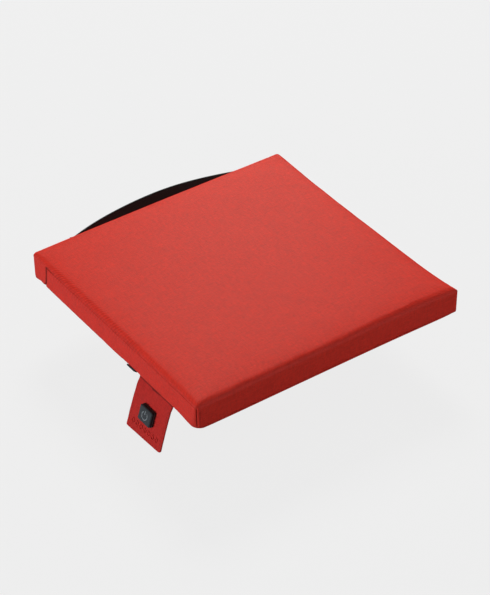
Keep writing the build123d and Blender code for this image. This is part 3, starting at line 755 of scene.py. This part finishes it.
def zip_recess(points):
    """Folds the skin in along the edge where the zip sits, and lets the wall stand out just above it."""
    out = points.copy()
    reach = LIP / math.sqrt(2) * 1.01
    edge_x, edge_z = -HALF_X + LIP / 2, LIP / 2
    for index, (x, y, z) in enumerate(points):
        share = zip_share(y)
        if share <= 0 or x > -HALF_X + 0.020 or z > 0.024:
            continue
        if x + HALF_X < LIP + 0.004 and z < LIP + 0.004:
            across = ((x - edge_x) - (z - edge_z)) / math.sqrt(2)
            outwards = -((x - edge_x) + (z - edge_z)) / math.sqrt(2)
            deep = -LIP_DEPTH * float(1 - smooth(reach * 0.72, reach * 0.98, abs(across)))
            shift = (min(outwards, deep) - outwards) * share
            out[index] = (x - shift / math.sqrt(2), y, z - shift / math.sqrt(2))
        if x + HALF_X < 0.002:
            past_slider = 0.35 + 0.65 * float(smooth(-0.045, -0.010, y))
            bulge = LIP_BULGE * float(bell(z - LIP - 0.0015, 0.004) * smooth(LIP - 0.0022, LIP, z))
            out[index, 0] -= bulge * share * past_slider
    return out


def cover():
    """Builds the swollen skin with its seams, cuts it into three cloth panels and returns it for fitting."""
    fine = Cushion(True)
    points = np.array(fine.points)
    coarse = Cushion(False)
    points = points + spread(coarse, swell(coarse), fine.points)
    points[:, 2] = np.maximum(points[:, 2], 0.0)
    points += ripples(points)
    work = make_object("skin", points, fine.faces)
    normals = np.array([vertex.normal[:] for vertex in work.data.vertices])
    seams = seam_lines(*points.T)
    points = lean_seam(points - normals * seams[:, None])
    points = zip_recess(points)
    bpy.data.objects.remove(work)
    skin = BVHTree.FromPolygons([tuple(point) for point in points], fine.faces)
    cut_panel(fine, points, seams, "top", "cover_top_cloth", "cover_top")
    cut_panel(fine, points, seams, "side", "zip_side_cloth", "zip_side_panel")
    cut_panel(fine, points, seams, "bottom", "cover_bottom_cloth", "cover_bottom")
    return skin


def ripples(points):
    """Slow, shallow unevenness of a filled cover, and small puckers beside the rolls."""
    out = np.zeros_like(points)
    for index, (x, y, z) in enumerate(points):
        if z < 0.004:
            continue
        slow = noise.noise(Vector((x * 9 + SEED, y * 9, z * 9)))
        quick = noise.noise(Vector((x * 45, y * 45 + SEED, z * 30)))
        on_wall = max(abs(x) / HALF_X, abs(y) / HALF_Y) > 0.975
        if on_wall:
            push = 0.00045 * slow + 0.00022 * quick
            if abs(x) / HALF_X > abs(y) / HALF_Y:
                out[index, 0] = push
            else:
                out[index, 1] = push
        else:
            out[index, 2] = 0.00055 * slow + 0.00010 * quick
    return out


def weave_place(fine, vertex, face_points):
    """A face corner's place on the flat cloth, in metres, unrolled over the nearest side."""
    flat = fine.flat[vertex]
    if len(flat) == 2:
        return flat
    x, y, dropped = flat
    centre = face_points.mean(0)
    if abs(centre[0]) / HALF_X > abs(centre[1]) / HALF_Y:
        return x + math.copysign(dropped, x), y
    return x, y + math.copysign(dropped, y)


def cut_panel(fine, points, seams, part, name, node):
    """One cloth panel as a thin closed shell."""
    chosen = [face for face, owner in zip(fine.faces, fine.part) if owner == part]
    used = sorted({vertex for face in chosen for vertex in face})
    number = {vertex: index for index, vertex in enumerate(used)}
    obj = make_object(name, points[used], [[number[v] for v in face] for face in chosen])
    layer = obj.data.uv_layers.new(name="Weave")
    for polygon, face in zip(obj.data.polygons, chosen):
        face_points = points[face]
        for loop, vertex in zip(polygon.loop_indices, face):
            layer.data[loop].uv = weave_place(fine, vertex, face_points)
    # This map carries the painted shade of the seam grooves and where the puckers are, whose troughs are painted
    # darker.
    set_uv(obj, "Seam", list(zip(seams[used] * SEAM_SHADE, pucker_share(points[used]))))
    shell = obj.modifiers.new("cloth", "SOLIDIFY")
    shell.thickness = CLOTH
    shell.offset = -1
    obj.data.materials.append(canvas)
    settle(obj, "cushion", node)


# ---- Carry handle ----
loop_low, loop_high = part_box("handle_loop")
end_low, end_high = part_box("handle_end_right")
STRAP_WIDTH = loop_high.z - loop_low.z
STRAP_MIDDLE = (loop_high.z + loop_low.z) / 2
STRAP_THICK = 0.0018
STRAP_END = end_high.x
STRAP_BOW = loop_high.y - HALF_Y - STRAP_THICK
STRAP_REACH = 0.144
STRAP_CURL = 0.0014         # the strap's cut ends stand out this far
LAP_START = end_low.x + 0.017       # inner end of the sewn, doubled part


def strap_offset(x):
    """Gap between the strap's inner face and the wall at a place along the side."""
    t = min(1.0, abs(x) / STRAP_REACH)
    return STRAP_BOW * (1 - t * t)


def strap_section():
    """The webbing's rounded flat section as (across, through) pairs, both in metres."""
    half, edge = STRAP_WIDTH / 2, STRAP_THICK / 2
    section = []
    for side in (1, -1):
        for index in range(5):
            angle = math.radians(-90 + 180 * index / 4)
            section.append((side * (half - edge + edge * math.cos(angle)), side * edge * math.sin(angle)))
        for index in range(1, 8):
            section.append((side * (half - edge) * (1 - index / 4), side * edge))
    return section


def strap_piece(name, start, end, lift, step=0.0025):
    """A length of webbing along the side, standing off the wall by its bow and a lift."""
    count = int(round((end - start) / step))
    section = strap_section()
    points, place = [], []
    travelled = 0.0
    before = None
    for index in range(count + 1):
        x = start + (end - start) * index / count
        offset = lift(x)
        slope = (lift(x + 0.0005) - lift(x - 0.0005)) / 0.001
        normal = Vector((-slope, 1, 0)).normalized()
        wall = HALF_Y + WALL_OUT + side_fill(x)
        centre = Vector((x, wall + offset, STRAP_MIDDLE)) + normal * STRAP_THICK / 2
        if before is not None:
            travelled += (centre - before).length
        before = centre
        for across, through in section:
            sag = 0.0006 * math.sin(x * 31) * (offset / max(STRAP_BOW, 1e-6))
            points.append(centre + normal * through + Vector((0, 0, across + sag)))
            place.append((travelled, across + (STRAP_WIDTH if through > 0 else 0)))
    return solid(name, points, tube_faces(0, count + 1, len(section)), webbing, place)


def stitch_box(name, centre, size, normal, across):
    """A box of stitches with a cross in it."""
    along = across.cross(normal).normalized()
    corners = [centre + along * size[0] / 2 * a + across * size[1] / 2 * b
               for a, b in ((-1, -1), (1, -1), (1, 1), (-1, 1))]
    pairs = ((0, 1), (1, 2), (2, 3), (3, 0), (0, 2), (1, 3))
    return stitches(name, [(corners[a], corners[b]) for a, b in pairs], normal, black_thread, 0.0022, 0.00028)


def stitches(name, runs, normal, material, pitch, radius):
    """Rows of stitches: every stitch is a little closed, bent grain of thread lying on the cloth."""
    points, faces = [], []
    rings, sides, fill = 5, 6, 0.68
    for first, second in runs:
        length = (second - first).length
        count = max(1, int(length / pitch))
        forward = (second - first).normalized()
        side = forward.cross(normal).normalized()
        half = length / count * fill / 2
        for index in range(count):
            middle = first + forward * (index + 0.5) * length / count
            faces += tube_faces(len(points), rings, sides)
            for ring in range(rings):
                t = -1 + 2 * ring / (rings - 1)
                thick = radius * math.sqrt(max(0.05, 1 - t * t * 0.95))
                heart = middle + forward * (t * half) + normal * (radius * 0.55 * (1 - t * t) - radius * 0.3)
                points += round_ring(heart, side, normal, thick, sides)
    return solid(name, points, faces, material)


def handle():
    """The bowed strap, its folded-back laps and the stitching that holds them."""
    strap = strap_piece("handle_strap", -STRAP_END, STRAP_END,
                        lambda x: max(STRAP_THICK * 0.98 * lap(x), strap_offset(x))
                        + STRAP_CURL * end_share(x))
    settle(strap, None, "handle_loop")
    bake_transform(strap)
    for side, name in ((-1, "left"), (1, "right")):
        start, end = sorted((side * LAP_START, side * (STRAP_END - 0.0006)))
        under = strap_piece("handle_lap_" + name, start, end, lambda x: 0.0)
        settle(under, "cushion", "handle_end_" + name)
        sewn_x = side * (STRAP_END - 0.0066)
        centre = Vector((sewn_x, HALF_Y + 2 * STRAP_THICK + WALL_OUT + side_fill(sewn_x), STRAP_MIDDLE))
        sewn = stitch_box("handle_stitches_" + name, centre, (0.0052, STRAP_WIDTH - 0.006),
                          Vector((0, 1, 0)), Vector((0, 0, 1)))
        settle(sewn, "cushion")


def end_share(x):
    """1 at the strap's cut ends, 0 from its stitching on."""
    return float(smooth(STRAP_END - 0.0040, STRAP_END, abs(x)))


def lap(x):
    """1 over the doubled, sewn end of the strap and 0 on the loop."""
    return float(smooth(LAP_START - 0.004, LAP_START + 0.004, abs(x)))


# ---- Control tab ----
TAB_HALF_TOP = 0.0385
TAB_HALF_LOW = 0.0375
TAB_LENGTH = 0.075
BUTTON_DOWN = 0.0375
BARS_DOWN = -0.0610
TAB_CORNERS = (0.0018, 0.0050)  # bottom corner radii, the side away from the front first
TAB_THICK = 0.0026
TAB_HEM = 0.004             # cloth outside the stiff core
TAB_TUCK = 0.0040           # the tab goes this far up behind its seam
CAP_FACE = 0.00835          # the cap's face, out from the middle of the tab's cloth
MARK_RADIUS = 0.00068
FOAM_GAP = 0.0019           # foam's surface to the outside of the cover
TAB_FRONT = -BUTTON_IN
TAB_RIGHT = Vector((0, -1, 0))
TAB_UP = TAB_FRONT.cross(TAB_RIGHT)


def tab_point(x, y, z):
    """A point of the tab's own frame in the row frame: x along -Y, y up to the seam, z out of its front."""
    return TAB_PIVOT + TAB_RIGHT * x + TAB_UP * y + TAB_FRONT * z


def tab_half(y, inset, corner):
    """Half the tab's width at a height, with a rounded bottom corner."""
    t = -y / TAB_LENGTH
    half = TAB_HALF_TOP + (TAB_HALF_LOW - TAB_HALF_TOP) * t - inset
    from_low = y + TAB_LENGTH - inset
    if from_low < corner:
        half -= corner - math.sqrt(max(0.0, corner ** 2 - (corner - from_low) ** 2))
    return half


def tab_curve(x, y):
    """How the hanging cloth leaves its flat plane: a twist, a soft belly and small waves."""
    down = -y / TAB_LENGTH
    twist = 0.0020 * down * (-x / TAB_HALF_TOP)
    belly = 0.0007 * math.sin(math.pi * min(1.0, max(0.0, down)))
    flat = float(smooth(0.016, 0.030, math.hypot(x, (y + BUTTON_DOWN) * 1.1)))
    wave = 0.0005 * noise.noise(Vector((x * 55, y * 55, SEED))) * flat
    tucked = -0.0014 * float(1 - smooth(0.001, 0.011, -y)) * float(smooth(0.0055, 0.0100, abs(x)))
    return (twist + belly) * flat + wave + tucked


def on_tab(x, y):
    """A point on the tab's front."""
    return tab_point(x, y, TAB_THICK / 2 + tab_curve(x, y))


def tab_sheet(name, low, high, material, inset=0.0, top=TAB_TUCK, columns=40, rows=50):
    """One ply of the tab between two depths, drawn in by an inset, with softened edges and a map that paints
    shadow at its top, where it goes up under the cover's edge.
    """
    def spot(i, j):
        t = j / rows
        down = 0.6 * t + 0.4 * math.sin(t * math.pi / 2)
        y = top - (top + TAB_LENGTH - inset) * down
        s = -1 + 2 * i / columns
        half = tab_half(min(y, 0.0), inset, TAB_CORNERS[s > 0])
        x = half * (0.35 * math.sin(s * math.pi / 2) + 0.65 * s)
        rim = max(0.0, min(half - abs(x), y + TAB_LENGTH - inset))
        return x, y, 0.55 + 0.45 * math.sqrt(min(1.0, rim / 0.0016))

    def point(i, j, depth):
        x, y, soften = spot(i, j)
        return tab_point(x, y, depth * soften + tab_curve(x, min(y, 0.0)))

    sheet = slab(name, columns, rows, (high, low), point, lambda i, j: spot(i, j)[:2], material)
    heights = [place.uv.y for place in sheet.data.uv_layers["Weave"].data]
    # Painted shadow: the cloth darkens towards the tab's top, where it goes up behind the cover's edge.
    seam = sheet.data.uv_layers.new(name="Seam")
    for place, height in zip(seam.data, heights):
        place.uv = (smooth(-0.0026, 0.0008, height), 0.0)
    return sheet


def tab():
    """Two plies sewn back to back, their top-stitching and a row of raised diamonds."""
    front = tab_sheet("tab_front", 0.0001, TAB_THICK / 2, tab_canvas)
    back = tab_sheet("tab_back", -TAB_THICK / 2, -0.0001, tab_canvas)
    for piece, node in ((front, "tab_front_cloth"), (back, "tab_back_cloth")):
        settle(piece, None, node)
        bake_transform(piece)
    core = tab_sheet("tab_stiffener", -0.0004, 0.0004, CAD_FINISH["stiffener"], TAB_HEM, -TAB_HEM)
    settle(core, "tab", "tab_core")
    settle(tab_stitches(), "tab")
    settle(tab_diamonds(), "tab")


def tab_stitches():
    """A row of stitches all round, a few millimetres in from the edge."""
    margin = 0.0032
    corners = [(-TAB_HALF_TOP + margin, -0.009), (-TAB_HALF_LOW + margin, -TAB_LENGTH + margin),
               (TAB_HALF_LOW - margin, -TAB_LENGTH + margin), (TAB_HALF_TOP - margin, -0.009)]
    runs, pieces = [], 12
    for (x0, y0), (x1, y1) in zip(corners, corners[1:]):
        spots = [(x0 + (x1 - x0) * k / pieces, y0 + (y1 - y0) * k / pieces) for k in range(pieces + 1)]
        path = [on_tab(x, y) for x, y in spots]
        runs += zip(path, path[1:])
    return stitches("tab_topstitch", runs, TAB_FRONT, thread, 0.0024, 0.00024)


def tab_diamonds():
    """A row of raised diamonds across the tab below the button."""
    count, pitch, half_wide, half_tall = 7, 0.0086, 0.0031, 0.0039
    paths = []
    for index in range(count):
        x0 = (index - (count - 1) / 2) * pitch
        spots = [(x0 + half_wide, 0.0), (x0, half_tall), (x0 - half_wide, 0.0), (x0, -half_tall)]
        path = []
        for (x1, y1), (x2, y2) in zip(spots, spots[1:] + spots[:1]):
            for t in (0.0, 0.35, 0.7):
                x, y = x1 + (x2 - x1) * t, BARS_DOWN + y1 + (y2 - y1) * t
                path.append(on_tab(x, y))
        paths.append(path + path[:1])
    obj = tubes("tab_diamonds", paths, 0.00080, TAB_FRONT, tab_canvas)
    set_uv(obj, "Weave", [(vertex.co.y, vertex.co.z) for vertex in obj.data.vertices])
    return obj


def button_mark():
    """The switch symbol, raised on the cap: a ring open at the top and an upright bar in the gap."""
    ring, gap, bar = 0.0058, math.radians(34), (0.0012, 0.0076)
    height = CAP_FACE - MARK_RADIUS * 0.35
    steps = 40
    angles = [math.pi / 2 + gap + (2 * math.pi - 2 * gap) * k / steps for k in range(steps + 1)]
    arc = [tab_point(ring * math.cos(a), -BUTTON_DOWN + ring * math.sin(a), height) for a in angles]
    steps = 8
    upright = [tab_point(0, -BUTTON_DOWN + bar[0] + (bar[1] - bar[0]) * k / steps, height)
               for k in range(steps + 1)]
    mark = tubes("button_mark", [arc, upright], MARK_RADIUS, TAB_FRONT, CAD_FINISH["button_mark"])
    settle(mark, "button")


# ---- Zip ----
ZIP_MIDDLE = Vector((-HALF_X + LIP / 2, 0, LIP / 2))
ZIP_ACROSS = Vector((1, 0, -1)).normalized()
ZIP_OUT = Vector((-1, 0, -1)).normalized()
TAPE_FACES = (-0.0020, -0.0026)     # the tapes' two faces, out from the middle of the zip


def zip_point(across, y, out):
    return ZIP_MIDDLE + ZIP_ACROSS * across + Vector((0, y, 0)) + ZIP_OUT * out


def zip_tapes():
    """The two woven tapes behind the teeth, slightly wavy like sewn cloth."""
    start, end = zip_low.y - 0.002, zip_high.y + 0.0078
    columns, rows = 8, 160
    for side, name in ((-1, "upper"), (1, "lower")):
        def spot(i, j):
            across = side * (0.0004 + 0.0046 * i / columns)
            return across, start + (end - start) * j / rows

        def point(i, j, depth):
            across, y = spot(i, j)
            loose = abs(across) / 0.005
            wave = 0.00012 * loose * noise.noise(Vector((across * 200, y * 140, side)))
            return zip_point(across, y, depth + wave)

        tape = slab("zip_tape_" + name + "_cloth", columns, rows, TAPE_FACES, point, spot, tape_cloth)
        settle(tape, "cushion", "zip_tape_" + name)


# ---- Soft parts inside ----
def soft_copy(name, node, skin, unevenness):
    """A CAD foam block remade as a soft one: evenly meshed, slightly uneven and kept inside the cover."""
    source = frame["nodes"][node]
    mesh = source.data.copy()
    mesh.transform(source.matrix_world)
    obj = bpy.data.objects.new(name, mesh)
    bpy.context.scene.collection.objects.link(obj)
    even = obj.modifiers.new("even mesh", "REMESH")
    even.mode = "VOXEL"
    even.voxel_size = 0.0030
    depsgraph = bpy.context.evaluated_depsgraph_get()
    mesh = bpy.data.meshes.new_from_object(obj.evaluated_get(depsgraph))
    obj.modifiers.clear()
    obj.data = mesh
    ends = []
    for vertex in mesh.vertices:
        lump = noise.noise(vertex.co * 70) * unevenness
        point = vertex.co + vertex.normal * (lump - unevenness)
        near, normal, _, _ = skin.find_nearest(point)
        depth = (point - near).dot(normal)
        if depth > -FOAM_GAP:
            point = point - normal * (depth + FOAM_GAP)
        ends += point[:]
    mesh.vertices.foreach_set("co", ends)
    mesh.update()
    mesh.polygons.foreach_set("use_smooth", [True] * len(mesh.polygons))
    mesh.materials.clear()
    mesh.materials.append(CAD_FINISH["foam"])
    settle(obj, "cushion", node)


def felt_sheet():
    """The needled felt that carries the heater wire."""
    low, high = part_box("heater_felt")
    columns, rows = 70, 66

    def spot(i, j):
        x = low.x + (high.x - low.x) * i / columns
        y = low.y + (high.y - low.y) * j / rows
        fray = 0.0006 * noise.noise(Vector((x * 90, y * 90, SEED)))
        return x + fray, y + fray

    def point(i, j, height):
        x, y = spot(i, j)
        dip = math.copysign(0.0003, height - (low.z + high.z) / 2)
        return Vector((x, y, height - dip * (0.5 + 0.5 * noise.noise(Vector((x * 60, y * 60, height * 900))))))

    felt = slab("heater_felt_sheet", columns, rows, (high.z, low.z), point, spot, CAD_FINISH["felt"])
    settle(felt, "cushion", "heater_felt")


def pocket_sleeve():
    """The battery's cloth pocket: a flat sleeve, open towards the zip and sewn shut behind the battery."""
    low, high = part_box("battery_pocket")
    middle = (low + high) / 2
    half_y, half_z = (high.y - low.y) / 2, (high.z - low.z) / 2
    columns, tube_rows, end_rows = 72, 44, 8
    wall, corner = 0.0008, 0.18

    def point(i, j, inset):
        angle = 2 * math.pi * i / columns
        cos, sin = math.cos(angle), math.sin(angle)
        across = math.copysign(abs(cos) ** corner, cos) * (half_y - inset)
        up = math.copysign(abs(sin) ** corner, sin) * (half_z - inset)
        x = low.x + (high.x - inset - low.x) * min(1.0, j / tube_rows)
        shrink = 1.0 if j <= tube_rows else max(0.03, 1 - (j - tube_rows) / end_rows)
        wrinkle = 0.0002 * noise.noise(Vector((x * 120, across * 150, up * 300)))
        return Vector((x, middle.y + (across + wrinkle) * shrink, middle.z + (up + wrinkle) * shrink))

    sleeve = slab("battery_pocket_cloth", columns, tube_rows + end_rows, (0.0, wall), point,
                  lambda i, j: (i * 0.0022, j * 0.0023), tape_cloth, wrap=True)
    settle(sleeve, "cushion", "battery_pocket")


# ---- Floor, light and camera ----
FLOOR_HALF = 6.0
FLOOR_GLOW = 0.815
WORLD_LIGHT = 0.16
VIEW_TURN, VIEW_RISE = math.radians(-35.52), math.radians(37.82)
VIEW_DISTANCE = 3.069
VIEW_RIGHT, VIEW_DOWN = 0.0067, 0.0026


def stage():
    """A plain pale floor below the hanging tab, clear when looked at from underneath."""
    height = cad_low.z - 0.012
    points = [(a * FLOOR_HALF, b * FLOOR_HALF, height) for a, b in ((-1, -1), (1, -1), (1, 1), (-1, 1))]
    floor = make_object("floor", points, [(0, 1, 2, 3)], False)
    made = Shader("floor_paint")
    grain = made.noise(made.place(), 60.0, 3.0)
    made.set(Base_Color=made.mix(grain, (0.042, 0.042, 0.042), (0.046, 0.046, 0.046)), Roughness=1.0,
             Specular_IOR_Level=0.0)
    seen = made.add("LightPath").outputs["Is Camera Ray"]
    glow = made.run("Emission", (1, 1, 1), made.times(seen, FLOOR_GLOW))
    painted = made.run("AddShader", made.surface.outputs[0], glow)
    behind = made.add("NewGeometry").outputs["Backfacing"]
    one_sided = made.run("MixShader", behind, painted, made.run("BsdfTransparent"))
    made.link(one_sided, made.output.inputs["Surface"])
    floor.data.materials.append(made.material)


def aim(name, data, place, forward):
    """A light or camera at a place, looking along a direction."""
    obj = bpy.data.objects.new(name, data)
    obj.location = place
    obj.rotation_mode = "QUATERNION"
    obj.rotation_quaternion = forward.to_track_quat("-Z", "Y")
    bpy.context.scene.collection.objects.link(obj)
    return obj


def area_light(name, place, target, size, power, colour=(1, 1, 1), tall=None, unseen=()):
    """A soft light, round or a rectangle with a height; unseen lists the rays that it leaves out."""
    data = bpy.data.lights.new(name, "AREA")
    data.shape = "RECTANGLE" if tall else "DISK"
    data.size = size
    if tall:
        data.size_y = tall
    data.energy = power
    data.color = colour
    lamp = aim(name, data, place, Vector(target) - Vector(place))
    for ray in unseen:
        setattr(lamp, "visible_" + ray, False)


def lights():
    """Soft studio light: a broad key from behind, two fills, sheens and dim surroundings."""
    world = bpy.data.worlds.new("studio")
    bpy.context.scene.world = world
    world.use_nodes = True
    back = world.node_tree.nodes["Background"]
    back.inputs["Color"].default_value = (1, 1, 1, 1)
    back.inputs["Strength"].default_value = WORLD_LIGHT
    area_light("key", (2.00, 3.00, 3.20), (0.03, 0.06, 0.04), 1.8, 240.0, unseen=["glossy"])
    area_light("sheen_card", (0.41, 0.546, 0.566), (0.02, 0.0, 0.045), 0.35, 6.2, (1.0, 0.97, 0.86),
               unseen=["diffuse"])
    area_light("floor_shine", (-0.67, 0.25, cad_low.z - 0.010), (-0.67, 0.25, 1.0), 0.9, 1.4,
               (0.98, 0.95, 1.10), 1.3, ["diffuse", "camera"])
    area_light("under_fill", (0.0, 0.0, cad_low.z - 0.009), (0.0, 0.0, 1.0), 0.36, 0.14, tall=0.36,
               unseen=["glossy", "camera"])
    area_light("side_fill", (-2.4, 0.35, 0.10), (-0.15, 0, 0.02), 1.0, 52.0)
    area_light("front_fill", (1.2, -2.6, 0.12), (0, -0.1, 0.02), 1.2, 38.0)


def camera():
    """Long lens from the front, turned towards the tab's side and well above the seat."""
    level = Vector((math.sin(VIEW_TURN), -math.cos(VIEW_TURN), 0))
    back = level * math.cos(VIEW_RISE) + Vector((0, 0, math.sin(VIEW_RISE)))
    right = Vector((math.cos(VIEW_TURN), math.sin(VIEW_TURN), 0))
    data = bpy.data.cameras.new("camera")
    data.sensor_width = 36.0
    data.lens = 134.8
    data.clip_start, data.clip_end = 0.05, 50.0
    place = back * VIEW_DISTANCE + right * VIEW_RIGHT - back.cross(right) * VIEW_DOWN
    bpy.context.scene.camera = aim("camera", data, place, -back)


# ---- Carried-over CAD nodes ----
CAD_FINISH = {
    "foam": porous("foam", (0.70, 0.64, 0.48)),
    "felt": porous("felt", (0.62, 0.62, 0.60), 0.0006, 0.0002),
    "wire": moulded("wire_sleeve", (0.62, 0.09, 0.03), 0.45),
    "cable": moulded("cable_jacket", (0.015, 0.015, 0.016), 0.45),
    "button_shell": moulded("button_shell", (0.010, 0.011, 0.013), 0.42),
    "button_mark": moulded("button_mark", (0.19, 0.22, 0.24), 0.45),
    "button_face": moulded("button_face", (0.0125, 0.0180, 0.0225), 0.55, 0.00005, 1800.0, gloss=0.28),
    "board": moulded("circuit_board", (0.02, 0.14, 0.05), 0.35),
    "lens": moulded("lens", (0.8, 0.8, 0.76), 0.25),
    "metal": moulded("plated_metal", (0.55, 0.55, 0.57), 0.32, 0.00002, 3200.0, 0.15, 1.0),
    "battery": moulded("battery_case", (0.025, 0.026, 0.030), 0.5),
    "cell": moulded("cell_foil", (0.62, 0.63, 0.66), 0.3, 0.00003, 1500.0, 0.1, 0.9),
    "stiffener": moulded("stiffener_sheet", (0.72, 0.72, 0.70), 0.5),
    "zip_teeth": moulded("zip_nylon", (0.014, 0.014, 0.016), 0.35),
    "zip_metal": moulded("zip_enamel", (0.010, 0.010, 0.012), 0.28, 0.00002, 2400.0, 0.6),
    "zip_tape": moulded("pocket_cloth", (0.02, 0.014, 0.014), 0.9, 0.00012, 1500.0),
    "webbing": webbing,
    "cover": canvas,
    "tab_cloth": tab_canvas,
}


def finish_cad_nodes():
    """Gives every CAD node its slot's material."""
    slots = {row["node"]: row["material_slot"] for row in frame["record"]["subparts"]}
    for name, obj in frame["nodes"].items():
        obj.data.materials.clear()
        obj.data.materials.append(CAD_FINISH[slots[name]])


finish_cad_nodes()
skin = cover()
soft_copy("comfort_foam_block", "comfort_foam", skin, 0.00025)
soft_copy("core_foam_block", "core_foam", skin, 0.00030)
felt_sheet()
pocket_sleeve()
handle()
tab()
button_mark()
zip_tapes()
stage()
lights()
camera()
bpy.context.scene.view_settings.view_transform = "Standard"
